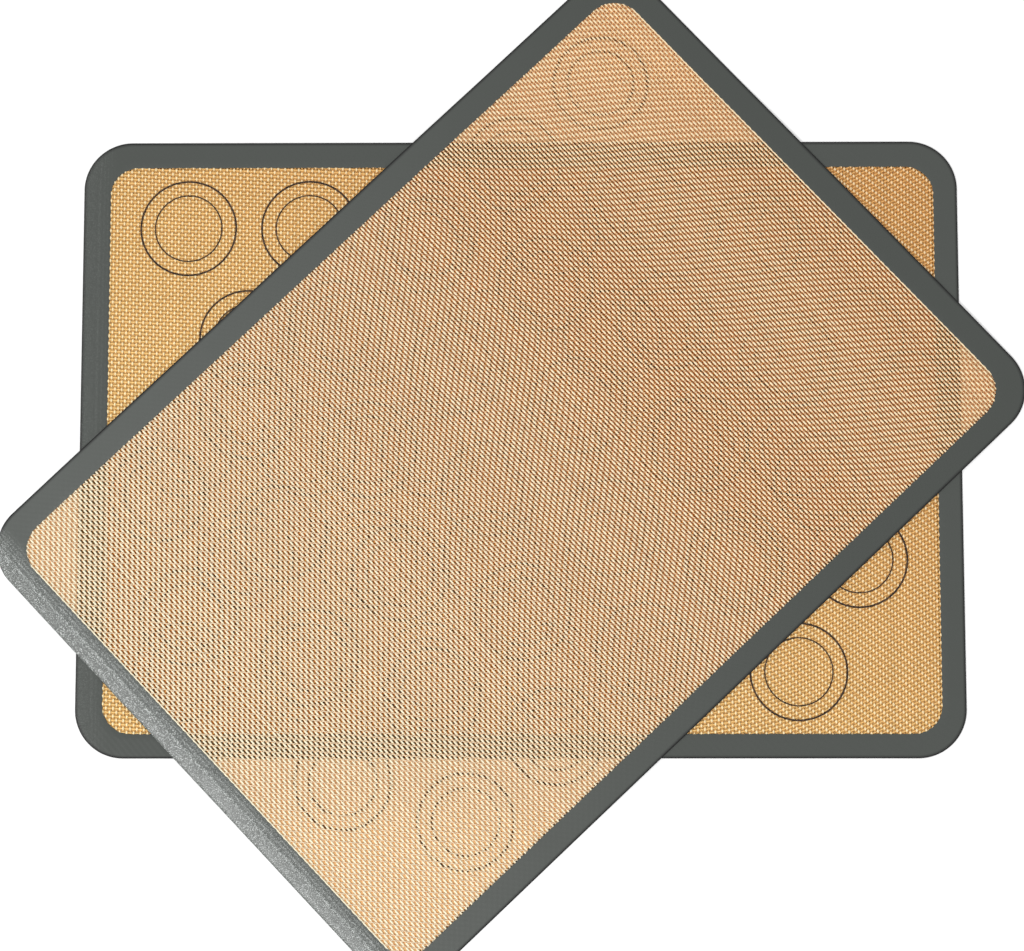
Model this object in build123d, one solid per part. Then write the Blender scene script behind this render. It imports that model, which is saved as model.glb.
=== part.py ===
"""Two half-sheet silicone baking mats: one printed face up, one laid across it face down.

Each mat is a laminate. A woven glass cloth is the core, a clear silicone coat lies on each
face of it, a grey silicone border covers the margin of both coats and closes round the
cloth's cut edge, and guide rings for piping are printed on the front coat.
All sizes are in millimetres. +Z is up, and the lower mat lies on Z = 0.
"""

import os

from build123d import *

# Outline of a mat, for a half-sheet baking tray
mat_length = 419.1
mat_width = 295.3
corner_radius = 23.0
border_width = 12.0

# Thickness of each layer
cloth_thickness = 0.30
coat_thickness = 0.13
border_thickness = 0.10
ink_thickness = 0.04

# The border's closed rim, past the cloth's cut edge
rim_width = 1.5
rim_chamfer = 0.2
rim_clearance = 0.05

# Guide rings, in staggered rows
ring_pitch = 58.15
row_pitch = 53.3
large_ring_diameter = 46.0
large_ring_line = 0.65
small_ring_diameter = 32.0
small_ring_line = 0.45
ring_clearance = 5.0
ring_sides = 22
print_shift_x = 0.8
print_shift_y = -0.9

# How the upper mat lies across the lower one
crossing_angle = 43.44
crossing_shift_x = -3.9
crossing_shift_y = -10.6
stack_clearance = 0.05

# Worked out from the sizes above
core_thickness = cloth_thickness + 2 * coat_thickness
mat_thickness = core_thickness + 2 * border_thickness
print_length = mat_length - 2 * border_width - 2 * ring_clearance
print_width = mat_width - 2 * border_width - 2 * ring_clearance


def sheet(inset, bottom, thickness):
    """A flat layer with the mat's rounded outline drawn in by inset, from height bottom."""
    outline = RectangleRounded(
        mat_length - 2 * inset,
        mat_width - 2 * inset,
        corner_radius - inset,
    )
    return extrude(Pos(0, 0, bottom) * outline, amount=thickness)


def glass_cloth():
    """The woven core, cut short of the mat's edge so that the rim seals it."""
    return sheet(rim_width, -cloth_thickness / 2, cloth_thickness)


def front_coat():
    """Clear silicone over the whole front face of the cloth."""
    return sheet(rim_width, cloth_thickness / 2, coat_thickness)


def front_border():
    """The grey band on the front coat, with its half of the rim down to the mid-plane."""
    band = sheet(0, 0, mat_thickness / 2)
    outer_edges = band.faces().sort_by(Axis.Z)[-1].edges()
    band = chamfer(outer_edges, rim_chamfer)
    opening = sheet(border_width, 0, mat_thickness / 2)
    seat = sheet(rim_width - rim_clearance, 0, core_thickness / 2)
    return band - opening - seat


def ring_centres():
    """As many guide rings as the mat takes; every other row is shifted by half a pitch."""
    half_pitch = ring_pitch / 2
    steps = int((print_length - large_ring_diameter - half_pitch) // ring_pitch)
    row_steps = int((print_width - large_ring_diameter) // row_pitch)
    first_x = print_shift_x - (steps * ring_pitch + half_pitch) / 2
    first_y = print_shift_y - row_steps * row_pitch / 2
    for row in range(row_steps + 1):
        stagger = half_pitch * (row % 2)
        for step in range(steps + 1):
            yield first_x + stagger + step * ring_pitch, first_y + row * row_pitch


def printed_ring(diameter, line):
    """The flat outline of one printed circle, in short straight sides."""
    outside = RegularPolygon(diameter / 2, ring_sides)
    inside = RegularPolygon(diameter / 2 - line, ring_sides)
    return outside - inside


def ring_print():
    """The guide rings in ink on the front coat, a large and a small one at each centre."""
    outlines = [
        Pos(x, y, core_thickness / 2) * printed_ring(diameter, line)
        for x, y in ring_centres()
        for diameter, line in (
            (large_ring_diameter, large_ring_line),
            (small_ring_diameter, small_ring_line),
        )
    ]
    return Compound(
        children=[extrude(outline, amount=ink_thickness).solid() for outline in outlines]
    )


def mat_pieces():
    """The layers of one mat, about its mid-plane, with its front face towards +Z."""
    coat = front_coat()
    border = front_border()
    return {
        "glass_cloth": glass_cloth(),
        "front_coat": coat,
        "back_coat": mirror(coat, about=Plane.XY),
        "front_border": border,
        "back_border": mirror(border, about=Plane.XY),
    }


def lower_place():
    """The lower mat lies straight, on its back face."""
    return Pos(-crossing_shift_x, -crossing_shift_y, mat_thickness / 2)


def upper_place():
    """The upper mat is turned over about its short axis and laid across the lower one."""
    height = mat_thickness + stack_clearance + mat_thickness / 2
    return Pos(0, 0, height) * Rot(0, 0, crossing_angle) * Rot(0, 180, 0)


def write_piece(node, piece):
    """Writes one piece to its STEP file and says what is in it."""
    piece.label = node
    export_step(piece, f"parts/{node}.step")
    print(f"{node}: {len(piece.solids())} solids, {piece.volume:.0f} mm3")


def main():
    """Both mats have the same layers; only the lower one's face-up print is modelled."""
    os.makedirs("parts", exist_ok=True)
    layers = mat_pieces()
    for mat, place in {"lower": lower_place(), "upper": upper_place()}.items():
        for name, piece in layers.items():
            write_piece(f"{mat}_{name}", place * piece)
    write_piece("lower_ring_print", lower_place() * ring_print())


if __name__ == "__main__":
    main()
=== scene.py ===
"""The looks of two silicone baking mats: one lies face up, one is laid across it face down.

Every length is in metres. A mat is modelled flat about its own centre, with its printed front
face towards +Z and its length along X, and is then laid in its place. The cloth is woven
thread by thread, because the windows between its threads show from both faces.
"""

import logging
import math
from collections.abc import Callable
from dataclasses import dataclass, field
from enum import Enum

import bmesh
import bpy
import numpy as np
from mathutils import Matrix, Vector


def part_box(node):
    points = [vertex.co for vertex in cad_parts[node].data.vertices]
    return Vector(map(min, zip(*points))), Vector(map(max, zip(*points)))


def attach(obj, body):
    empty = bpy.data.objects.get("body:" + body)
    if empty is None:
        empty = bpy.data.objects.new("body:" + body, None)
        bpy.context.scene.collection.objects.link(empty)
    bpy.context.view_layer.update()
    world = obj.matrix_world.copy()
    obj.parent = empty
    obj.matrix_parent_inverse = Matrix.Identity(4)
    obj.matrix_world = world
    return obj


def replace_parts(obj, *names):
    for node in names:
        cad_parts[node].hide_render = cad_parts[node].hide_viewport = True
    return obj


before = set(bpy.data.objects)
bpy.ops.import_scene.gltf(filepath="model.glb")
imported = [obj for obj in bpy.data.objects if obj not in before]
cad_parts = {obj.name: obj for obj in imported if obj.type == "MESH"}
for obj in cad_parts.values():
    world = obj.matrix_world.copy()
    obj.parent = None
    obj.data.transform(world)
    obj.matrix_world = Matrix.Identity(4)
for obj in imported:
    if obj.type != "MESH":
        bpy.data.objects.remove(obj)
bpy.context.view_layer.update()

MM = 0.001
# A yarn's half-width and half-height while it is modelled in counts of yarns
YARN_HALF = 0.25
# How near a whole count a point is still on that crossing
NEAR = 0.25
Colour = tuple[float, float, float]
log = logging.getLogger("baking_mats")


class Face(Enum):
    """The two faces of a mat, by their side of the mid-plane."""

    FRONT = 1
    BACK = -1


class Run(Enum):
    """The two ways that a yarn runs through the cloth."""

    WARP = "warp"
    WEFT = "weft"


class Owner(Enum):
    """What a set of nodes dresses, by the node that they end in."""

    MATERIAL = "ShaderNodeOutputMaterial"
    WORLD = "ShaderNodeOutputWorld"


def smooth_rise(share: np.ndarray) -> np.ndarray:
    """Eases a share from 0 to 1, level at both ends."""
    held = np.clip(share, 0.0, 1.0)
    return held * held * (3.0 - 2.0 * held)


class Value:
    """A shader socket that takes part in Python sums."""

    def __init__(self, shader: "Shader", socket: bpy.types.NodeSocket) -> None:
        """Keeps the shader that the socket's node is in."""
        self.shader = shader
        self.socket = socket

    def maths(self, operation: str, *others: "Value | float", first: bool = True) -> "Value":
        """Adds one Math node.

        Args:
            operation: The node's operation.
            others: The other values that it takes.
            first: Whether this value is the first of them, and not the last.

        Returns:
            The node's result.
        """
        order = (self, *others) if first else (*others, self)
        inputs = dict(enumerate(order))
        return self.shader.value("ShaderNodeMath", {"operation": operation}, inputs)

    def __add__(self, other: "Value | float") -> "Value":
        """This value and another, added."""
        return self.maths("ADD", other)

    __radd__ = __add__

    def __sub__(self, other: "Value | float") -> "Value":
        """This value less another."""
        return self.maths("SUBTRACT", other)

    def __rsub__(self, other: float) -> "Value":
        """A number less this value."""
        return self.maths("SUBTRACT", other, first=False)

    def __mul__(self, other: "Value | float") -> "Value":
        """This value times another."""
        return self.maths("MULTIPLY", other)

    __rmul__ = __mul__

    def cosine(self) -> "Value":
        """The cosine of this value, in radians."""
        return self.maths("COSINE")

    def ramp(self, low: float, high: float) -> "Value":
        """Eases from 0 at low to 1 at high, level outside them."""
        settings = {"interpolation_type": "SMOOTHSTEP"}
        inputs = {"Value": self, "From Min": low, "From Max": high}
        return self.shader.value("ShaderNodeMapRange", settings, inputs)


class Shader:
    """The nodes of one material, or of the world."""

    def __init__(self, name: str, owner: Owner = Owner.MATERIAL) -> None:
        """Starts an empty set of nodes.

        Args:
            name: The name of what they dress.
            owner: What that is.
        """
        store = bpy.data.worlds if owner is Owner.WORLD else bpy.data.materials
        self.dressed = store.new(name)
        self.dressed.use_nodes = True
        self.tree = self.dressed.node_tree
        self.tree.nodes.clear()
        self.last_node = owner.value

    def node(self, kind: str, settings: dict, inputs: dict) -> bpy.types.Node:
        """Adds one node.

        Args:
            kind: The node's type.
            settings: Its properties, which are set first.
            inputs: What goes into its sockets, by name or number.

        Returns:
            The node.
        """
        made = self.tree.nodes.new(kind)
        for name, setting in settings.items():
            setattr(made, name, setting)
        for name, given in inputs.items():
            socket = made.inputs[name]
            if isinstance(given, Value):
                self.tree.links.new(given.socket, socket)
            elif isinstance(given, tuple) and len(given) < len(socket.default_value):
                socket.default_value = (*given, 1.0)
            else:
                socket.default_value = given
        return made

    def value(self, kind: str, settings: dict, inputs: dict, output: str | int = 0) -> Value:
        """Adds one node, as above, and wraps the output that is wanted."""
        return Value(self, self.node(kind, settings, inputs).outputs[output])

    def attribute(self, name: str) -> Value:
        """A number that the mesh holds at each of its points."""
        return self.value("ShaderNodeAttribute", {"attribute_name": name}, {}, "Fac")

    def blend(self, share: Value, none: "Value | Colour", full: "Value | Colour") -> Value:
        """Mixes two colours: none where the share is 0, full where it is 1."""
        inputs = {0: share, 6: none, 7: full}
        return self.value("ShaderNodeMix", {"data_type": "RGBA"}, inputs, 2)

    def mix(self, share: Value, none: Value, full: Value) -> Value:
        """Mixes two shaders: none where the share is 0, full where it is 1."""
        return self.value("ShaderNodeMixShader", {}, {0: share, 1: none, 2: full})

    def noise(self, size: float) -> Value:
        """Soft cloudy variation.

        Args:
            size: The rough size of a cloud.

        Returns:
            The noise, about 0.5.
        """
        place = self.value("ShaderNodeTexCoord", {}, {}, "Object")
        inputs = {"Vector": place, "Scale": 1.0 / size, "Detail": 2.0}
        return self.value("ShaderNodeTexNoise", {}, inputs, "Fac")

    def bump(self, height: Value) -> Value:
        """Turns a height in metres into a normal."""
        inputs = {"Height": height, "Distance": 1.0, "Strength": 1.0}
        return self.value("ShaderNodeBump", {}, inputs)

    def solid(
        self, colour: "Value | Colour", roughness: "Value | float", shine: float, **more: Value
    ) -> Value:
        """A solid surface of that colour, roughness and specular level, and what else it has."""
        inputs = {"Base Color": colour, "Roughness": roughness, "Specular IOR Level": shine}
        return self.value("ShaderNodeBsdfPrincipled", {}, inputs | more)

    def close(self, surface: Value) -> "bpy.types.Material | bpy.types.World":
        """Ends the nodes with that surface, and gives back what they dress."""
        self.node(self.last_node, {}, {"Surface": surface})
        return self.dressed


@dataclass(frozen=True)
class YarnFinish:
    """Cream glass yarn, soaked with silicone that stains it and lets light through; its hollows
    are darker, partly from the stain and partly painted shade.
    """

    # Crest and hollow colours, each with a paler twin: the hollows are darker partly from the
    # silicone's stain and partly from painted shade, and the twins are painted paler towards the
    # lamp's side
    crest: Colour
    pale_crest: Colour
    hollow: Colour
    pale_hollow: Colour
    through: Colour = (0.92, 0.64, 0.32)
    crest_from: float = 0.10
    crest_to: float = 0.65
    thin_crest: float = 0.10
    thin_hollow: float = 0.35
    darkest: float = 0.93
    tone_range: float = 0.14
    roughness: float = 0.45
    shine: float = 0.25

    def make(self, name: str) -> bpy.types.Material:
        """The finish as a material of that name."""
        shader = Shader(name)
        # Crest colour high on the yarn, hollow colour low down: partly stain, partly painted
        # shade
        crest_share = shader.attribute("crown").ramp(self.crest_from, self.crest_to)
        # Painted light: paler colours towards the lamp's side
        pale = shader.attribute("pale")
        crest = shader.blend(pale, self.crest, self.pale_crest)
        hollow = shader.blend(pale, self.hollow, self.pale_hollow)
        tone = self.darkest + self.tone_range * shader.attribute("tone")
        stained_and_shaded = {"Value": tone, "Color": shader.blend(crest_share, hollow, crest)}
        shade = shader.value("ShaderNodeHueSaturation", {}, stained_and_shaded)
        solid = shader.solid(shade, self.roughness, self.shine)
        lit_through = shader.value("ShaderNodeBsdfTranslucent", {}, {"Color": self.through})
        thin = self.thin_hollow - (self.thin_hollow - self.thin_crest) * crest_share
        return shader.close(shader.mix(thin, solid, lit_through))


@dataclass(frozen=True)
class FilmFinish:
    """A film of silicone that tints what lies behind it."""

    tint: Colour
    body: Colour
    body_share: float
    share_range: float = 0.03
    roughness: float = 0.38
    rough_range: float = 0.1
    shine: float = 0.06
    cloud_size: float = 6 * MM

    def make(self, name: str) -> bpy.types.Material:
        """The finish as a material of that name."""
        shader = Shader(name)
        clear = shader.value("ShaderNodeBsdfTransparent", {}, {"Color": self.tint})
        cloud = shader.noise(self.cloud_size) - 0.5
        roughness = self.roughness + self.rough_range * cloud
        solid = shader.solid(self.body, roughness, self.shine)
        share = self.body_share + self.share_range * cloud
        return shader.close(shader.mix(share, clear, solid))


@dataclass(frozen=True)
class BorderFinish:
    """Grey satin silicone over the cloth's relief, with painted shade, sheen and glints."""

    grey: Colour = (0.041, 0.047, 0.041)
    # On the upper mat this paler grey is painted in towards the lamp's side; the lower mat takes
    # an even share of it
    pale_grey: Colour = (0.073, 0.080, 0.073)
    # Painted shade: the outer rim darkened almost to black, except at the loose end
    rim: Colour = (0.002, 0.002, 0.002)
    # Painted sheen: a lighter grey blended in towards the loose end, where the lamp's reflection
    # lies on the rolled border
    painted_sheen: Colour = (0.20, 0.21, 0.20)
    painted_sheen_share: float = 0.12
    # Painted glints: bright specks blended into the colour over the relief towards the loose end
    glint: Colour = (0.70, 0.73, 0.71)
    glint_share: float = 0.90
    glint_size: float = 0.34 * MM
    glint_rows: float = 0.04
    glint_from: float = 0.55
    glint_to: float = 0.61
    relief: float = 0.035 * MM
    loose_relief: float = 0.07 * MM
    roll: float = 1.5 * MM
    roughness: float = 0.36
    rough_range: float = 0.12
    rim_roughness: float = 0.5
    cloud_size: float = 9 * MM
    shine: float = 0.5

    def make(self, name: str) -> bpy.types.Material:
        """The finish as a material of that name."""
        shader = Shader(name)
        counts = shader.value("ShaderNodeUVMap", {"uv_map": "weave_count"}, {})
        parts = shader.node("ShaderNodeSeparateXYZ", {}, {"Vector": counts}).outputs
        across = Value(shader, parts["X"]) * math.pi
        knit = across.cosine() * (Value(shader, parts["Y"]) * math.pi).cosine()
        rows = (across * 2.0).cosine()
        fine = shader.noise(self.glint_size)
        rim, loose = shader.attribute("rim"), shader.attribute("loose")
        glint_spots = (fine + rows * self.glint_rows).ramp(self.glint_from, self.glint_to)
        # Painted light on the upper mat: paler towards the lamp
        grey = shader.blend(shader.attribute("pale"), self.grey, self.pale_grey)
        # Painted shade along the rim
        grey = shader.blend(rim, grey, self.rim)
        # Painted sheen, then painted glints, towards the loose end
        grey = shader.blend(loose * self.painted_sheen_share, grey, self.painted_sheen)
        grey = shader.blend(loose * glint_spots * self.glint_share, grey, self.glint)
        cloud = shader.noise(self.cloud_size) - 0.5
        roughness = self.roughness + self.rough_range * cloud + rim * self.rim_roughness
        depth = loose * (self.loose_relief - self.relief) + self.relief
        weave = knit + loose * (rows - knit)
        height = (weave * 0.5 + fine) * depth + shader.attribute("roll") * self.roll
        return shader.close(
            shader.solid(grey, roughness, self.shine, Normal=shader.bump(height))
        )


@dataclass(frozen=True)
class InkFinish:
    """Dark ink, worn thin in places."""

    ink: Colour = (0.020, 0.013, 0.010)
    worn: Colour = (0.09, 0.05, 0.03)
    wear_size: float = 1.1 * MM
    wear_from: float = 0.35
    wear_to: float = 0.75
    roughness: float = 0.6
    shine: float = 0.15

    def make(self, name: str) -> bpy.types.Material:
        """The finish as a material of that name."""
        shader = Shader(name)
        wear = shader.noise(self.wear_size).ramp(self.wear_from, self.wear_to)
        colour = shader.blend(wear, self.ink, self.worn)
        return shader.close(shader.solid(colour, self.roughness, self.shine))


@dataclass(frozen=True)
class Outline:
    """The rounded outline of a mat, about its centre."""

    length: float
    width: float
    radius: float

    def area(self) -> float:
        """What the outline holds, its rounded corners taken off."""
        return self.length * self.width - (4.0 - math.pi) * self.radius**2

    def inside(self, inset: float) -> "Outline":
        """The outline drawn in by inset."""
        return Outline(self.length - 2 * inset, self.width - 2 * inset, self.radius - inset)

    def perimeter(self) -> float:
        """The way round."""
        straight = 2 * (self.length + self.width - 4 * self.radius)
        return straight + 2 * math.pi * self.radius

    def spots(self, share: np.ndarray) -> tuple[np.ndarray, np.ndarray, np.ndarray]:
        """Finds which side and how far along it points on the outline lie.

        Args:
            share: How far round the outline each point lies, from 0 to 1.

        Returns:
            The side, the share of its straight run and the share of the corner after it.
        """
        arc = self.radius * math.pi / 2
        runs = np.array([self.width, self.length] * 2) - 2 * self.radius
        starts = np.concatenate(([0.0], np.cumsum(runs + arc)[:3]))
        way = (share % 1.0) * self.perimeter()
        side = np.searchsorted(starts, way + 1e-9, side="right") - 1
        past = way - starts[side]
        run = np.clip(past / runs[side], 0.0, 1.0)
        return side, run, np.clip((past - runs[side]) / arc, 0.0, 1.0)

    def at(
        self, side: np.ndarray, run: np.ndarray, arc: np.ndarray
    ) -> tuple[np.ndarray, np.ndarray]:
        """Finds the points of the outline from their spots.

        Args:
            side: Which side each lies on.
            run: How far along its straight run.
            arc: How far round the corner after it.

        Returns:
            The points' X and Y.
        """
        half_x = self.length / 2 - self.radius
        half_y = self.width / 2 - self.radius
        corner_x = np.array((half_x, half_x, -half_x, -half_x))[side]
        corner_y = np.array((-half_y, half_y, half_y, -half_y))[side]
        along = 2 * run * np.array((half_y, half_x, half_y, half_x))[side]
        turn = side * math.pi / 2
        angle = turn + arc * math.pi / 2
        x = corner_x - np.sin(turn) * along + self.radius * np.cos(angle)
        y = corner_y + np.cos(turn) * along + self.radius * np.sin(angle)
        return x, y

    def beyond(self, x: np.ndarray, y: np.ndarray) -> np.ndarray:
        """How far points lie outside the outline, negative inside it.

        Args:
            x: The points' X.
            y: Their Y.

        Returns:
            The distances.
        """
        over_x = np.abs(x) - self.length / 2 + self.radius
        over_y = np.abs(y) - self.width / 2 + self.radius
        outside = np.hypot(np.maximum(over_x, 0.0), np.maximum(over_y, 0.0))
        return outside + np.minimum(np.maximum(over_x, over_y), 0.0) - self.radius


@dataclass(frozen=True)
class Margins:
    """How wide a printed border is on each side, which is never quite the same."""

    left: float
    right: float
    bottom: float
    top: float

    def mean(self) -> float:
        """The mean width."""
        return (self.left + self.right + self.bottom + self.top) / 4

    def opening(self, outline: Outline, radius: float) -> tuple[Outline, float, float]:
        """The opening that the border leaves in an outline.

        Args:
            outline: The outline.
            radius: The radius of the opening's corners.

        Returns:
            The opening's own outline, and the X and Y of its centre.
        """
        length = outline.length - self.left - self.right
        width = outline.width - self.bottom - self.top
        shift_x = (self.left - self.right) / 2
        shift_y = (self.bottom - self.top) / 2
        return Outline(length, width, radius), shift_x, shift_y


@dataclass(frozen=True)
class Lay:
    """Where a mat lies, and how it hangs over what it lies on."""

    centre: Vector
    angle: float
    up: Face
    support: "Lay | None" = None
    support_outline: Outline | None = None
    drop: float = 0.0
    drop_reach: float = 38 * MM

    def put(self, x: np.ndarray, y: np.ndarray, z: np.ndarray) -> np.ndarray:
        """Lays points of a flat mat in their place.

        Args:
            x: Their X on the mat.
            y: Their Y on the mat.
            z: Their height from its mid-plane, towards its front.

        Returns:
            The points, one a row.
        """
        side = float(self.up.value)
        cos, sin = math.cos(self.angle), math.sin(self.angle)
        there_x = self.centre.x + cos * side * x - sin * y
        there_y = self.centre.y + sin * side * x + cos * y
        there_z = self.centre.z + side * z
        if self.support is not None:
            under_x = there_x - self.support.centre.x
            under_y = there_y - self.support.centre.y
            past = self.support_outline.beyond(under_x, under_y)
            there_z = there_z - self.drop * smooth_rise(past / self.drop_reach)
        return np.stack((there_x, there_y, there_z), axis=1)

    def back(self, there: np.ndarray) -> tuple[np.ndarray, np.ndarray]:
        """Finds where on the flat mat points lie that are in their place.

        Args:
            there: The points, one a row.

        Returns:
            Their X and Y on the mat.
        """
        x, y = (there - np.array(self.centre))[:, :2].T
        cos, sin = math.cos(self.angle), math.sin(self.angle)
        return (cos * x + sin * y) * self.up.value, cos * y - sin * x


def add_object(name: str, data: bpy.types.ID) -> bpy.types.Object:
    """Adds an object to the scene.

    Args:
        name: Its name.
        data: Its mesh, camera or light.

    Returns:
        The object.
    """
    made = bpy.data.objects.new(name, data)
    bpy.context.scene.collection.objects.link(made)
    return made


def read_points(mesh: bpy.types.Mesh) -> np.ndarray:
    """Reads where the points of a mesh lie.

    Args:
        mesh: The mesh.

    Returns:
        The points, one a row.
    """
    flat = np.zeros(len(mesh.vertices) * 3, np.float32)
    mesh.vertices.foreach_get("co", flat)
    return flat.reshape(-1, 3).astype(float)


def report(made: bpy.types.Object) -> None:
    """Says how many triangles a piece has."""
    made.data.calc_loop_triangles()
    log.info("%s: %d triangles", made.name, len(made.data.loop_triangles))


class Piece:
    """A mesh in the making, and what is done to finish it."""

    def __init__(self, name: str, body: str, slot: str) -> None:
        """Starts an empty mesh.

        Args:
            name: The piece's name.
            body: The body that it moves with.
            slot: The slot that its finish belongs to; not used.
        """
        self.name = name
        self.body = body
        self.slot = slot
        self.bm = bmesh.new()

    def draw_out(self, step: Vector, steps: int) -> None:
        """Draws the mesh out in equal steps, each joined to the one before.

        Args:
            step: The way of one step.
            steps: How many there are.
        """
        geom = self.bm.verts[:] + self.bm.edges[:]
        way = {"axis": (0, 0, 1), "angle": 0.0, "dvec": step, "steps": steps}
        bmesh.ops.spin(self.bm, geom=geom, use_duplicate=False, **way)

    def repeat(self, count: int, step: Vector) -> None:
        """Copies the mesh side by side, doubling it as long as that is short of the count.

        Args:
            count: How many there are in the end.
            step: The way from one to the next.
        """
        made = 1
        while made < count:
            more = min(made, count - made)
            kinds = (self.bm.verts, self.bm.edges, self.bm.faces)
            source = [part for kind in kinds for part in kind[: len(kind) // made * more]]
            added = bmesh.ops.duplicate(self.bm, geom=source)["geom"]
            verts = [part for part in added if isinstance(part, bmesh.types.BMVert)]
            bmesh.ops.translate(self.bm, verts=verts, vec=step * made)
            made += more

    def finish(
        self,
        place: Callable[[np.ndarray], np.ndarray],
        material: bpy.types.Material,
        marks: Callable[[np.ndarray], dict[str, np.ndarray]] | None = None,
        smooth: bool = True,
    ) -> bpy.types.Object:
        """Makes the object: writes the mesh, lays its points in place and dresses it.

        Args:
            place: Takes the points as modelled and gives them as they lie.
            material: The finish.
            marks: Takes the points as modelled and gives numbers that the finish reads.
            smooth: Whether its faces are shaded as one round surface.

        Returns:
            The finished object.
        """
        mesh = bpy.data.meshes.new(self.name)
        self.bm.to_mesh(mesh)
        self.bm.free()
        points = read_points(mesh)
        for name, numbers in (marks(points) if marks else {}).items():
            layer = mesh.attributes.new(name, "FLOAT", "POINT")
            layer.data.foreach_set("value", numbers.astype(np.float32))
        mesh.vertices.foreach_set("co", place(points).astype(np.float32).ravel())
        mesh.polygons.foreach_set("use_smooth", [smooth] * len(mesh.polygons))
        mesh.materials.append(material)
        mesh.update()
        made = add_object(self.name, mesh)
        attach(made, self.body)
        report(made)
        return made


@dataclass(frozen=True)
class Lean:
    """A stretch of the cloth whose weft was pulled out of square."""

    centre: float
    reach: float
    slope: float

    def at(self, x: np.ndarray) -> np.ndarray:
        """The weft's slope that this stretch adds at each x."""
        return self.slope / np.cosh((x - self.centre) / self.reach) ** 2

    def shift(self, x: np.ndarray) -> np.ndarray:
        """How far it moves the weft along the warp at each x."""
        return self.slope * self.reach * np.tanh((x - self.centre) / self.reach)


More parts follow.
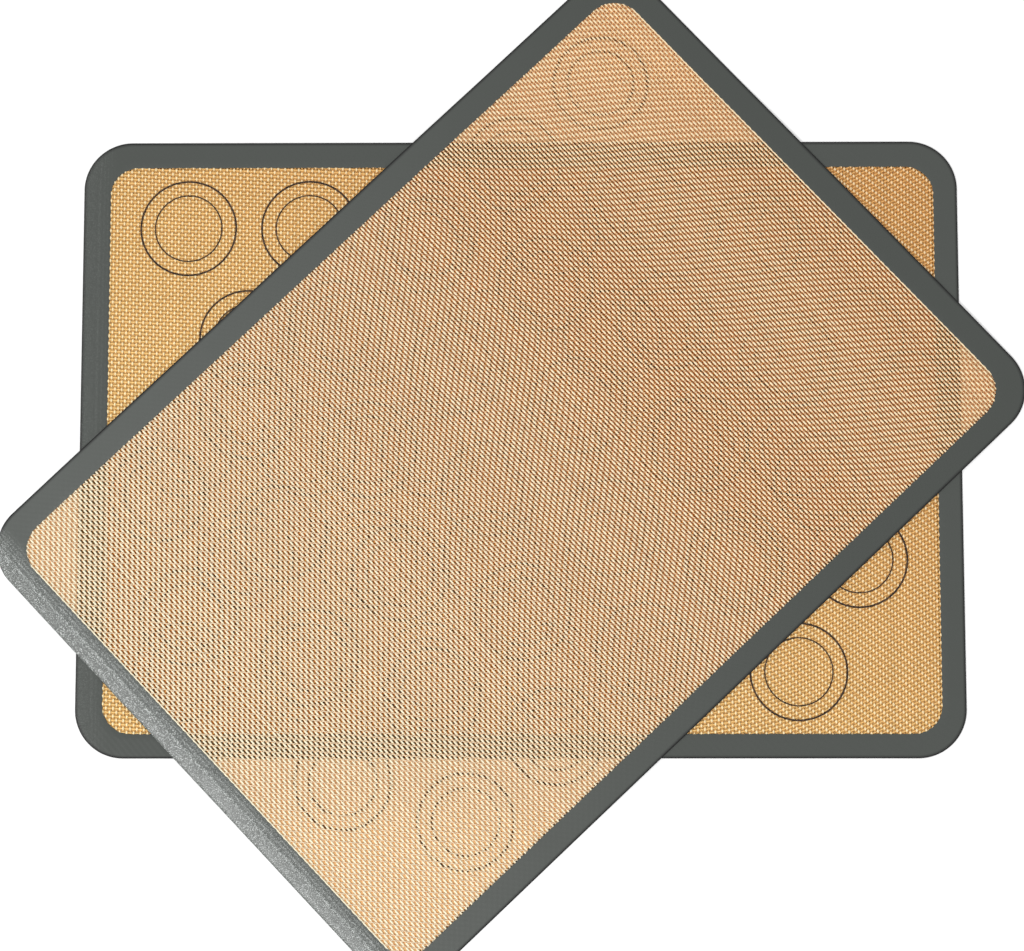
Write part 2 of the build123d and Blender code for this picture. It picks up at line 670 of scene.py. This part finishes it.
@dataclass
class Weave:
    """A plain weave of two yarns, with the leans that its weft has on one mat."""

    outline: Outline
    leans: tuple[Lean, ...]
    pull_low: float
    pull_high: float
    edge_yarns: tuple[float, float]
    seed: int
    warp_pitch: float = 1.64 * MM
    weft_pitch: float = 1.83 * MM
    least_pull: float = 0.25 * MM
    warp_half_width: float = 0.48 * MM
    weft_half_width: float = 0.40 * MM
    half_thickness: float = 0.10 * MM
    warp_wave: float = 0.15 * MM
    weft_wave: float = 0.04 * MM
    wobble: float = 0.05 * MM
    unevenness: float = 0.05
    edge_float: float = 0.0
    # How far yarn that dips between crossings is pushed to the hollow colour: painted shade,
    # partly stain
    warp_gap: float = 0.0
    weft_crown: float = 0.0
    weft_gap_low: float = 0.0
    weft_gap_high: float = 0.0
    flat_slope: float = 0.05
    draws: int = 2048
    ends: float = 2.5 * MM
    stations: np.ndarray = field(init=False)
    counts: np.ndarray = field(init=False)

    def __post_init__(self) -> None:
        """Counts the warp yarns along the mat; leaning weft draws them together."""
        half = self.outline.length / 2 + 2 * self.ends
        self.stations = np.linspace(-half, half, 2001)
        slope = self.flat_slope + sum(lean.at(self.stations) for lean in self.leans)
        growth = np.hypot(1.0, slope) / self.warp_pitch
        steps = np.diff(self.stations) * (growth[1:] + growth[:-1]) / 2
        counted = np.concatenate(([0.0], np.cumsum(steps)))
        low, high = np.interp(self.edge_yarns, self.stations, counted)
        self.counts = (counted - low) * round(high - low) / (high - low) - round(high - low) // 2

    def warp_x(self, count: np.ndarray) -> np.ndarray:
        """Where on the mat's length the yarn of that count lies."""
        return np.interp(count, self.counts, self.stations)

    def drift(self, x: np.ndarray) -> np.ndarray:
        """How far the weft lies out of line at each x."""
        return self.flat_slope * x + sum(lean.shift(x) for lean in self.leans)

    def count_at(self, x: np.ndarray, y: np.ndarray) -> tuple[np.ndarray, np.ndarray]:
        """The warp count and the weft count at points on the mat."""
        warp = np.interp(x, self.stations, self.counts)
        return warp, (y - self.drift(x)) / self.weft_pitch

    def field_half(self) -> tuple[float, float]:
        """Half the length and half the width that the yarns reach, under the border."""
        return self.outline.length / 2 + self.ends, self.outline.width / 2 + self.ends

    def warp_range(self) -> tuple[int, int]:
        """The counts of the first and the last warp yarn."""
        reach = self.field_half()[0]
        low, high = np.interp((-reach, reach), self.stations, self.counts)
        return math.ceil(low), math.floor(high)

    def weft_range(self) -> tuple[int, int]:
        """The counts of the lowest and the highest weft yarn anywhere on the mat."""
        reach = self.field_half()[1]
        drift = self.drift(np.linspace(*self.stations[[0, -1]], 200))
        low = (-reach - drift.max()) / self.weft_pitch
        high = (reach - drift.min()) / self.weft_pitch
        return math.ceil(low), math.floor(high)

    def jitter(self, count: np.ndarray, spread: float, salt: int) -> np.ndarray:
        """A steady random number for each whole count; each use has its own salt."""
        drawn = np.random.default_rng(self.seed + salt).normal(0.0, spread, self.draws)
        return drawn[np.round(count).astype(int) % self.draws]

    def build(self, run: Run, part: int, parts: int, piece: Piece) -> None:
        """Models one share of the yarns in counts: X is the warp count and Y the weft count.

        A yarn starts as a ring of a few points, is drawn out a crossing at a time, is closed
        at both ends and is then repeated.

        Args:
            run: Which yarns.
            part: Which share, from 0.
            parts: How many shares there are.
            piece: The piece that takes the mesh.
        """
        warp_low, warp_high = self.warp_range()
        weft_low, weft_high = self.weft_range()
        if run is Run.WARP:
            first, last, start, end = warp_low, warp_high, weft_low, weft_high
            facing = Matrix.Rotation(math.pi / 2, 4, "X")
            step_along, step_across, steps_each = Vector((0, 1, 0)), Vector((1, 0, 0)), 1
        else:
            first, last, start, end = weft_low, weft_high, warp_low, warp_high
            facing = Matrix.Rotation(math.pi / 2, 4, "Y")
            step_along, step_across = Vector((1, 0, 0)), Vector((0, 1, 0))
            steps_each = 2 if self.zigzag() else 1
        edges = np.linspace(first, last + 1, parts + 1).round().astype(int)
        own_first, own_last = int(edges[part]), int(edges[part + 1]) - 1
        bm = piece.bm
        sides = 4 if steps_each == 1 else 3
        bmesh.ops.create_circle(bm, segments=sides, radius=YARN_HALF, matrix=facing)
        if sides == 3:
            self.turn_flat(bm)
        corner = step_along * start + step_across * own_first
        bmesh.ops.translate(bm, verts=bm.verts[:], vec=corner)
        piece.draw_out(step_along / steps_each, (end - start) * steps_each)
        bmesh.ops.holes_fill(bm, edges=[edge for edge in bm.edges if edge.is_boundary])
        bmesh.ops.recalc_face_normals(bm, faces=bm.faces[:])
        piece.repeat(own_last - own_first + 1, step_across)

    def turn_flat(self, bm: bmesh.types.BMesh) -> None:
        """Turns a three-sided yarn's flat side to the front, its ridge to the back."""
        if sum(vert.co.z > 0.1 for vert in bm.verts) < 2:
            bmesh.ops.scale(bm, verts=bm.verts[:], vec=(1, 1, -1))

    def zigzag(self) -> bool:
        """Whether the weft is pulled to and fro enough to be modelled."""
        return max(self.pull_low, self.pull_high) > self.least_pull

    def change(self, x: np.ndarray, low: float, high: float) -> np.ndarray:
        """A number that changes along the mat, from low at its least x to high at its most."""
        share = smooth_rise((x - self.stations[0]) / (self.stations[-1] - self.stations[0]))
        return low + (high - low) * share

    def shape(self, run: Run, points: np.ndarray) -> tuple[np.ndarray, ...]:
        """Turns points in counts into points on the flat mat.

        Args:
            run: Which yarns they are on.
            points: The points in counts.

        Returns:
            X, Y, the height above the mid-plane, that height as a share of the highest
            crest's, with the weft taken as level, which side the yarn passes on there,
            towards the front as 1, and whether it is between two crossings.
        """
        across, along = (0, 1) if run is Run.WARP else (1, 0)
        yarn = np.round(points[:, across])
        offset = (points[:, across] - yarn) / YARN_HALF
        lift = points[:, 2] / YARN_HALF
        station = points[:, along]
        whole = np.floor(station + NEAR)
        between = np.abs(station - np.round(station)) > NEAR
        parity = np.where((yarn + whole) % 2 == 0, 1.0, -1.0)
        wobble = self.jitter(yarn, self.wobble, 1 if run is Run.WARP else 2)
        level = self.jitter(yarn * 7 + whole * 13, self.unevenness, 3)
        if run is Run.WARP:
            x = self.warp_x(yarn) + wobble
            y = self.weft_pitch * station + self.drift(self.warp_x(yarn))
            rise = self.warp_wave * parity * (1.0 + level)
            if self.edge_float:
                low, high = self.edge_yarns
                last = np.minimum(np.abs(x - low), np.abs(x - high)) < 0.4 * self.warp_pitch
                x = np.where(last, x - wobble, x)
                rise = np.where(last, self.edge_float, rise)
            x = x + offset * self.warp_half_width
        else:
            x = self.warp_x(station)
            swing = np.where(between, self.change(x, self.pull_low, self.pull_high) * parity, 0.0)
            y = self.weft_pitch * yarn + self.drift(x) + swing + wobble
            y = y + offset * self.weft_half_width
            rise = np.where(between, 0.0, -self.weft_wave * parity * (1.0 + level))
        z = rise + lift * self.half_thickness
        crown = (z - rise if run is Run.WEFT else z) / (self.warp_wave + self.half_thickness)
        return x, y, z, crown, parity if run is Run.WARP else -parity, between

    def trim(self, made: bpy.types.Object, lay: Lay) -> None:
        """Cuts off what reaches past the cloth, under the border, and closes the cut ends.

        Args:
            made: The yarns, laid in their place.
            lay: How the mat lies.
        """
        reach_x, reach_y = self.field_half()
        x, y = lay.back(read_points(made.data))
        over = np.flatnonzero((np.abs(x) > reach_x) | (np.abs(y) > reach_y))
        bm = bmesh.new()
        bm.from_mesh(made.data)
        bm.verts.ensure_lookup_table()
        bmesh.ops.delete(bm, geom=[bm.verts[index] for index in over], context="VERTS")
        loose = [vert for vert in bm.verts if not vert.link_faces]
        bmesh.ops.delete(bm, geom=loose, context="VERTS")
        bmesh.ops.holes_fill(bm, edges=[edge for edge in bm.edges if edge.is_boundary])
        bm.to_mesh(made.data)
        bm.free()
        report(made)


@dataclass
class BorderBand:
    """The grey border on one face of a mat, toothed by the cloth along its inner edge."""

    mat: "BakingMat"
    face: Face
    rim_width: float = 1.45 * MM
    foot_depth: float = 0.06 * MM
    inner_bevel: float = 0.12 * MM
    inner_reach: float = 0.5 * MM
    tooth: float = 0.20 * MM
    tooth_spread: float = 0.25
    # Where the rim's painted shade is full, and how far inwards it fades
    rim_shade_inset: float = 0.6 * MM
    rim_shade_fade: float = 0.5 * MM
    # How far the loose end reaches; it takes the painted sheen and glints and a deeper relief
    loose_most: float = 1.35
    loose_reach: float = 12 * MM
    roll_reach: float = 9.0 * MM
    # The upper mat's border painted lighter towards the lamp, and the lower mat's even paleness
    pale_middle: float = 0.46
    pale_turn: float = 0.45
    pale_even: float = 0.19

    def around(self) -> int:
        """How many points the band has round the mat, a few for each tooth."""
        return 4 * round(self.mat.outline.perimeter() / self.mat.weave.warp_pitch / 2)

    def section(self) -> np.ndarray:
        """The band's section, closed round from its inner foot.

        Returns:
            Its points, each an inset from the mat's edge and a height.
        """
        inner = self.mat.margins[self.face].mean()
        top, rim = self.mat.mat_half, self.rim_width
        foot = self.mat.core_half - self.foot_depth
        step = top - self.mat.core_half
        points = [
            (inner, foot),
            (inner, top - 0.35 * step),
            (inner - self.inner_bevel, top),
            (0.72 * inner, top),
            (0.45 * inner, top),
            (0.22 * inner, top),
            (1.2 * rim, top),
            (0.55 * rim, top - 0.2 * step),
            (0.24 * rim, top - 0.9 * step),
            (0.06 * rim, top - 2.1 * step),
            (0.0, 0.12 * top),
            (0.0, 0.0),
            (rim, 0.0),
            (rim, foot),
        ]
        return np.array([*points, points[0]])

    def flat(self, points: np.ndarray) -> tuple[np.ndarray, ...]:
        """Finds where points of the ring as modelled lie on the flat mat.

        Args:
            points: The points: the way round is their turn, and the row their height.

        Returns:
            X, Y, the height above the mid-plane, and the inset from the mat's edge.
        """
        mat, margins = self.mat, self.mat.margins[self.face]
        share = (np.arctan2(points[:, 1], points[:, 0]) / (2 * math.pi)) % 1.0
        inset, height = self.section()[np.round(points[:, 2]).astype(int)].T
        spots = mat.outline.spots(share)
        edge_x, edge_y = mat.outline.at(*spots)
        opening, shift_x, shift_y = margins.opening(mat.outline, mat.opening_radius)
        open_x, open_y = opening.at(*spots)
        open_x, open_y = open_x + shift_x, open_y + shift_y
        warp, weft = mat.weave.count_at(open_x, open_y)
        knit = np.cos(math.pi * warp) * np.cos(math.pi * weft) * self.face.value
        index = np.round(share * self.around())
        teeth = -knit + mat.weave.jitter(index, self.tooth_spread, 6)
        inner = inset > margins.mean() - self.inner_reach
        inset = inset + np.where(inner, self.tooth * teeth, 0.0)
        part = inset / margins.mean()
        x = edge_x + part * (open_x - edge_x)
        y = edge_y + part * (open_y - edge_y)
        return x, y, self.face.value * height, inset

    def marks(self, points: np.ndarray) -> dict[str, np.ndarray]:
        """What the finish reads: the rim's painted shade, the loose end, its slope, and how pale
        it is, which on the upper mat is painted lighter towards the lamp.

        Args:
            points: The points as modelled.

        Returns:
            The marks by name.
        """
        mat = self.mat
        x, y, height, inset = self.flat(points)
        # Painted shade along the outer rim, left off at the loose end
        rim = np.clip(1.0 - (inset - self.rim_shade_inset) / self.rim_shade_fade, 0.0, 1.0)
        depth = mat.outline.length / 2 - mat.sheen_end * x
        # The loose end: painted sheen and glints, and a deeper relief, go here
        loose = mat.sheen_and_relief * np.clip(self.loose_most - depth / self.loose_reach, 0.0, 1.0)
        slope = -np.clip(1.0 - depth / self.roll_reach, 0.0, 1.0) ** 2
        # Painted light on the upper mat: the border paler towards the lamp on the near left
        pale = smooth_rise(self.pale_middle + (x + self.pale_turn * y) / mat.outline.length)
        return {
            "rim": rim * (1.0 - loose),
            "loose": loose,
            "roll": slope if mat.rolled else np.zeros_like(x),
            "pale": pale if mat.rolled else np.full_like(x, self.pale_even),
        }

    def place(self, points: np.ndarray) -> np.ndarray:
        """Lays points of the ring in their place."""
        return self.mat.lay.put(*self.flat(points)[:3])

    def build(self, finish: BorderFinish) -> bpy.types.Object:
        """Makes the band as a ring of rows, one for each point of its section.

        Args:
            finish: Its finish.

        Returns:
            The band.
        """
        side = self.face.name.lower()
        piece = self.mat.piece(f"{side}_band", "grey_silicone")
        bmesh.ops.create_circle(piece.bm, segments=self.around(), radius=1.0)
        piece.draw_out(Vector((0, 0, 1)), len(self.section()) - 1)
        made = piece.finish(self.place, finish.make(f"{self.mat.name}_{side}_grey"), self.marks)
        self.close(made)
        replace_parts(made, f"{self.mat.name}_{side}_border")
        return made

    def close(self, made: bpy.types.Object) -> None:
        """Joins the section's last row to its first, and counts the yarns for the finish.

        Args:
            made: The band, laid in its place.
        """
        bm = bmesh.new()
        bm.from_mesh(made.data)
        bmesh.ops.remove_doubles(bm, verts=bm.verts[:], dist=1e-7)
        bmesh.ops.recalc_face_normals(bm, faces=bm.faces[:])
        layer = bm.loops.layers.uv.new("weave_count")
        corners = [loop for part in bm.faces for loop in part.loops]
        flat = self.mat.lay.back(np.array([loop.vert.co for loop in corners]))
        for loop, *counts in zip(corners, *self.mat.weave.count_at(*flat)):
            loop[layer].uv = counts
        bm.to_mesh(made.data)
        bm.free()


@dataclass
class RingPrint:
    """Guide rings in ink on a mat's front face, a large and a small one at each centre."""

    pitch: float = 58.03 * MM
    row_pitch: float = 53.2 * MM
    rows: int = 5
    rings_a_row: int = 6
    first_x: float = -159.1 * MM
    first_y: float = -107.1 * MM
    large: float = 46.5 * MM
    large_line: float = 0.85 * MM
    small: float = 32.6 * MM
    small_line: float = 0.60 * MM
    level: float = 0.275 * MM
    thickness: float = 0.02 * MM
    sides: int = 96

    def centres(self) -> list[tuple[float, float]]:
        """The rings' centres, every other row moved on by half a pitch."""
        return [
            (
                self.first_x + (step + 0.5 * (row % 2)) * self.pitch,
                self.first_y + row * self.row_pitch,
            )
            for row in range(self.rows)
            for step in range(self.rings_a_row)
        ]

    def draw(self, mat: "BakingMat", finish: InkFinish) -> bpy.types.Object:
        """Prints the rings on a mat.

        Args:
            mat: The mat.
            finish: The ink's finish.

        Returns:
            The print.
        """
        piece = mat.piece("ring_ink", "printing_ink")
        for centre in self.centres():
            for across, line in ((self.large, self.large_line), (self.small, self.small_line)):
                self.ring(piece.bm, Vector((*centre, 0.0)), across / 2, line)
        bmesh.ops.solidify(piece.bm, geom=piece.bm.faces[:], thickness=self.thickness)
        bmesh.ops.recalc_face_normals(piece.bm, faces=piece.bm.faces[:])

        def place(points: np.ndarray) -> np.ndarray:
            """Lays the flat print on the mat's front face."""
            return mat.lay.put(points[:, 0], points[:, 1], points[:, 2] + self.level)

        return piece.finish(place, finish.make(f"{mat.name}_ink"), smooth=False)

    def ring(self, bm: bmesh.types.BMesh, centre: Vector, radius: float, line: float) -> None:
        """Adds one flat ring.

        Args:
            bm: The mesh that takes it.
            centre: Its centre on the mat.
            radius: Its outer radius.
            line: How wide the line is.
        """
        there = Matrix.Translation(centre)
        outer = bmesh.ops.create_circle(bm, segments=self.sides, radius=radius, matrix=there)
        edges = list(dict.fromkeys(edge for vert in outer["verts"] for edge in vert.link_edges))
        inner = bmesh.ops.extrude_edge_only(bm, edges=edges)["geom"]
        verts = [part for part in inner if isinstance(part, bmesh.types.BMVert)]
        share = (radius - line) / radius
        bmesh.ops.scale(bm, verts=verts, vec=(share, share, 1.0), space=there.inverted())


@dataclass
class BakingMat:
    """One mat: its woven cloth, its two clear coats, its grey border and its ring print."""

    name: str
    lay: Lay
    outline: Outline
    weave: Weave
    core_half: float
    mat_half: float
    margins: dict[Face, Margins]
    opening_radius: float
    yarn: YarnFinish
    rings: RingPrint
    film_level: float = 0.12 * MM
    back_level: float = 0.045 * MM
    coat_inset: float = 1.5 * MM
    coat_grid: tuple[int, int] = (84, 60)
    tone_spread: float = 0.22
    # Which way and where the yarns are painted paler, towards the lamp on the near left
    pale_way: tuple[float, float] = (1.0, 0.0)
    pale_middle: float = 0.5
    # Which end of the border takes the painted sheen and glints with a deeper relief, and how
    # strongly
    sheen_end: float = 1.0
    sheen_and_relief: float = 1.0
    # Whether the border curls at its loose end, and whether its grey is painted lighter towards
    # the lamp
    rolled: bool = False
    rests_on: tuple[str, ...] = ()

    def piece(self, name: str, slot: str) -> Piece:
        """Starts a piece of this mat, which moves with the mat's own body."""
        return Piece(f"{self.name}_{name}", f"{self.name}_mat", slot)

    def weave_cloth(self) -> list[bpy.types.Object]:
        """Weaves the cloth, in a few pieces for each run of yarn.

        Returns:
            The pieces.
        """
        made = []
        material = self.yarn.make(f"{self.name}_glass_yarn")
        shares = {Run.WARP: 2, Run.WEFT: 3 if self.weave.zigzag() else 2}
        for run, parts in shares.items():
            for part in range(parts):
                piece = self.piece(f"{run.value}_yarns_{part + 1}", "glass_cloth")
                self.weave.build(run, part, parts, piece)
                yarns = piece.finish(
                    lambda points, run=run: self.lay.put(*self.weave.shape(run, points)[:3]),
                    material,
                    lambda points, run=run: self.yarn_marks(run, points),
                )
                self.weave.trim(yarns, self.lay)
                made.append(yarns)
        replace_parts(made[0], f"{self.name}_glass_cloth")
        return made

    def yarn_marks(self, run: Run, points: np.ndarray) -> dict[str, np.ndarray]:
        """What the yarn's finish reads.

        Args:
            run: Which yarns.
            points: Their points in counts.

        Returns:
            How near the upper face a point is, lowered where the yarn dips as painted shade, the
            yarn's own tone, and how pale the mat is there, painted towards the lamp, by name.
        """
        weave, up = self.weave, self.lay.up.value
        yarn = np.round(points[:, 0 if run is Run.WARP else 1])
        tone = weave.jitter(yarn, self.tone_spread, 4 if run is Run.WARP else 5)
        x, y, z, crown, rides, between = weave.shape(run, points)
        crown = crown * up
        # Yarn that dips between crossings takes the hollow colour: painted shade, partly stain
        if run is Run.WARP:
            crown = crown - weave.warp_gap * (rides * up < 0)
        else:
            gap = weave.change(x, weave.weft_gap_low, weave.weft_gap_high)
            crown = crown + weave.weft_crown - gap * between
        # Painted light: the yarns paler towards the lamp's side
        share = (x * self.pale_way[0] + y * self.pale_way[1]) / self.outline.length
        pale = smooth_rise(share + self.pale_middle)
        return {"crown": crown, "tone": np.clip(0.5 + tone, 0.0, 1.0), "pale": pale}

    def lay_coat(self, face: Face, finish: FilmFinish) -> bpy.types.Object:
        """The clear silicone of one face, a sheet with rounded corners.

        Args:
            face: The face that it lies on.
            finish: Its finish.

        Returns:
            The sheet.
        """
        side = face.name.lower()
        piece = self.piece(f"{side}_film", "clear_silicone")
        edge = self.outline.inside(self.coat_inset)
        columns, rows = self.coat_grid
        bmesh.ops.create_grid(piece.bm, x_segments=columns, y_segments=rows, size=1.0)
        level = self.film_level if face is Face.FRONT else -self.back_level
        if face is not self.lay.up:
            bmesh.ops.reverse_faces(piece.bm, faces=piece.bm.faces[:])

        def place(points: np.ndarray) -> np.ndarray:
            """Sizes the grid, draws its corners round and lays it."""
            x = points[:, 0] * edge.length / 2
            y = points[:, 1] * edge.width / 2
            over_x = np.maximum(np.abs(x) - edge.length / 2 + edge.radius, 0.0)
            over_y = np.maximum(np.abs(y) - edge.width / 2 + edge.radius, 0.0)
            longest = np.maximum(over_x, over_y)
            ratio = longest / np.maximum(np.hypot(over_x, over_y), 1e-12)
            ratio = np.where((over_x > 0) & (over_y > 0), ratio, 1.0)
            x = np.sign(x) * (np.abs(x) - over_x * (1.0 - ratio))
            y = np.sign(y) * (np.abs(y) - over_y * (1.0 - ratio))
            return self.lay.put(x, y, np.full_like(x, level))

        made = piece.finish(place, finish.make(f"{self.name}_{side}_film"))
        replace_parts(made, f"{self.name}_{side}_coat")
        return made

    def build(self, films: dict[Face, FilmFinish]) -> bpy.types.Object:
        """Args:
            films: The finish of each face's coat.

        Returns:
            The ring print, which only one of the mats has among its CAD solids.
        """
        yarns = self.weave_cloth()
        front, back = (self.lay_coat(face, film) for face, film in films.items())
        borders = [BorderBand(self, face).build(BorderFinish()) for face in Face]
        rings = self.rings.draw(self, InkFinish())
        edge = self.outline.inside(self.coat_inset)
        edge.area()
        return rings


@dataclass(frozen=True)
class Studio:
    """A white table under soft light, and the camera above it."""

    camera_place: tuple[float, float, float] = (0.013165, -0.177243, 1.387488)
    camera_pitch: float = 7.1474
    camera_yaw: float = 0.5421
    camera_nearest: float = 0.05
    lens: float = 103.54
    sensor: float = 36.0
    table_half: float = 30.0
    table_drop: float = 0.1 * MM
    table_white: float = 0.96
    table_glow: float = 0.2
    sky: float = 0.92
    lamp_place: tuple[float, float, float] = (-0.90, -0.85, 1.55)
    lamp_size: float = 0.6
    lamp_power: float = 17.0

    def set_picture(self) -> None:
        """Shows colours as they are written."""
        bpy.context.scene.view_settings.view_transform = "Standard"

    def put_camera(self) -> None:
        """Sets the camera almost straight above the mats, as the photograph was taken."""
        data = bpy.data.cameras.new("camera")
        data.lens = self.lens
        data.sensor_width = self.sensor
        data.sensor_fit = "HORIZONTAL"
        data.clip_start = self.camera_nearest
        camera = add_object("camera", data)
        camera.location = self.camera_place
        pitch, yaw = math.radians(self.camera_pitch), math.radians(self.camera_yaw)
        camera.rotation_euler = (pitch, yaw, 0.0)
        bpy.context.scene.camera = camera

    def put_floor(self) -> None:
        """A white table top, which keeps the mats' shadow."""
        piece = bmesh.new()
        bmesh.ops.create_grid(piece, x_segments=2, y_segments=2, size=self.table_half)
        mesh = bpy.data.meshes.new("table_top")
        piece.to_mesh(mesh)
        piece.free()
        shader = Shader("white_table")
        paint = shader.value("ShaderNodeBsdfDiffuse", {}, {"Color": (self.table_white,) * 3})
        glow = shader.value("ShaderNodeEmission", {}, {"Color": (1.0, 1.0, 1.0)})
        seen = shader.value("ShaderNodeLightPath", {}, {}, "Is Camera Ray")
        mesh.materials.append(shader.close(shader.mix(seen * self.table_glow, paint, glow)))
        floor = add_object("table_top", mesh)
        floor.location.z = -self.table_drop

    def put_light(self) -> None:
        """An even white sky, and one broad lamp on the near left that looks at the mats."""
        shader = Shader("studio", Owner.WORLD)
        white = (1.0, 1.0, 1.0)
        lit = {"Color": white, "Strength": self.sky}
        sky = shader.value("ShaderNodeBackground", {}, lit)
        shown = shader.value("ShaderNodeBackground", {}, {"Color": white})
        seen = shader.value("ShaderNodeLightPath", {}, {}, "Is Camera Ray")
        bpy.context.scene.world = shader.close(shader.mix(seen, sky, shown))
        data = bpy.data.lights.new("window", "AREA")
        data.size = self.lamp_size
        data.energy = self.lamp_power
        lamp = add_object("window", data)
        lamp.location = self.lamp_place
        lamp.rotation_mode = "QUATERNION"
        lamp.rotation_quaternion = (-Vector(self.lamp_place)).to_track_quat("-Z", "Y")


def millimetres(*sides: float) -> Margins:
    """A border's widths, given in millimetres: left, right, bottom, top."""
    return Margins(*(side * MM for side in sides))


def middle(node: str, level: float) -> Vector:
    """The middle of a CAD node's box, at the given level."""
    low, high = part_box(node)
    return Vector(((low.x + high.x) / 2, (low.y + high.y) / 2, level))


def make_mats() -> tuple[BakingMat, BakingMat]:
    """Sizes both mats from the frame.

    Returns:
        The lower mat and the upper one.
    """
    low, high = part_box("lower_front_border")
    upper_low, upper_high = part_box("upper_front_border")
    outline = Outline(high.x - low.x, high.y - low.y, 23.0 * MM)
    mat_half = high.z - low.z
    core_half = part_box("lower_front_coat")[1].z - low.z
    field_outline = outline.inside(12.0 * MM)
    lower_lay = Lay(middle("lower_front_border", low.z), 0.0, Face.FRONT)
    upper_lay = Lay(
        centre=middle("upper_front_border", upper_high.z),
        angle=math.radians(43.44),
        up=Face.BACK,
        support=lower_lay,
        support_outline=outline,
        drop=upper_low.z,
    )
    lower = BakingMat(
        name="lower",
        lay=lower_lay,
        outline=outline,
        weave=Weave(
            field_outline,
            leans=(Lean(165 * MM, 70 * MM, 0.50),),
            pull_low=0.15 * MM,
            pull_high=0.15 * MM,
            flat_slope=-0.06,
            edge_yarns=(-196.5 * MM, 196.7 * MM),
            warp_half_width=0.62 * MM,
            weft_half_width=0.65 * MM,
            warp_gap=0.40,
            weft_crown=0.06,
            seed=11,
        ),
        core_half=core_half,
        mat_half=mat_half,
        margins={
            Face.FRONT: millimetres(12.8, 11.4, 11.4, 12.3),
            Face.BACK: millimetres(12.0, 12.7, 11.3, 12.9),
        },
        opening_radius=13.5 * MM,
        yarn=YarnFinish(
            crest=(0.88, 0.65, 0.38),
            pale_crest=(0.98, 0.82, 0.49),
            hollow=(0.78, 0.50, 0.28),
            pale_hollow=(0.99, 0.84, 0.58),
        ),
        rings=RingPrint(),
        pale_way=(-0.6, -0.75),
        pale_middle=0.62,
        # The lower mat's left border: a faint painted sheen
        sheen_end=-1.0,
        sheen_and_relief=0.10,
    )
    upper = BakingMat(
        name="upper",
        lay=upper_lay,
        outline=outline,
        weave=Weave(
            field_outline,
            leans=(Lean(-20 * MM, 50 * MM, 0.36), Lean(-145 * MM, 50 * MM, -0.56)),
            pull_low=0.05 * MM,
            pull_high=0.82 * MM,
            edge_yarns=(-196.65 * MM, 197.05 * MM),
            edge_float=-0.14 * MM,
            weft_gap_low=1.40,
            weft_gap_high=0.30,
            seed=23,
        ),
        core_half=core_half,
        mat_half=mat_half,
        margins={
            Face.FRONT: millimetres(12.3, 11.9, 12.5, 12.7),
            Face.BACK: millimetres(12.7, 12.2, 11.8, 12.7),
        },
        opening_radius=15.0 * MM,
        yarn=YarnFinish(
            crest=(0.98, 0.78, 0.50),
            pale_crest=(0.98, 0.90, 0.67),
            hollow=(0.58, 0.26, 0.09),
            pale_hollow=(0.87, 0.48, 0.26),
            crest_from=-0.80,
            crest_to=0.20,
            thin_hollow=0.65,
        ),
        rings=RingPrint(
            first_x=-159.9 * MM, first_y=-106.1 * MM, large_line=1.25 * MM, small_line=0.9 * MM
        ),
        rolled=True,
        rests_on=("lower_front_band",),
    )
    return lower, upper


def main() -> None:
    """Builds the studio and both mats."""
    logging.basicConfig(level=logging.INFO, format="%(name)s: %(message)s")
    studio = Studio()
    studio.set_picture()
    studio.put_camera()
    studio.put_floor()
    studio.put_light()
    films = {
        Face.FRONT: FilmFinish(
            tint=(0.98, 0.845, 0.60), body=(0.72, 0.46, 0.20), body_share=0.03
        ),
        Face.BACK: FilmFinish(
            tint=(0.98, 0.84, 0.70), body=(0.72, 0.50, 0.30), body_share=0.012
        ),
    }
    lower, upper = make_mats()
    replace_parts(lower.build(films), "lower_ring_print")
    upper.build(films)


if __name__ == "__main__":
    main()
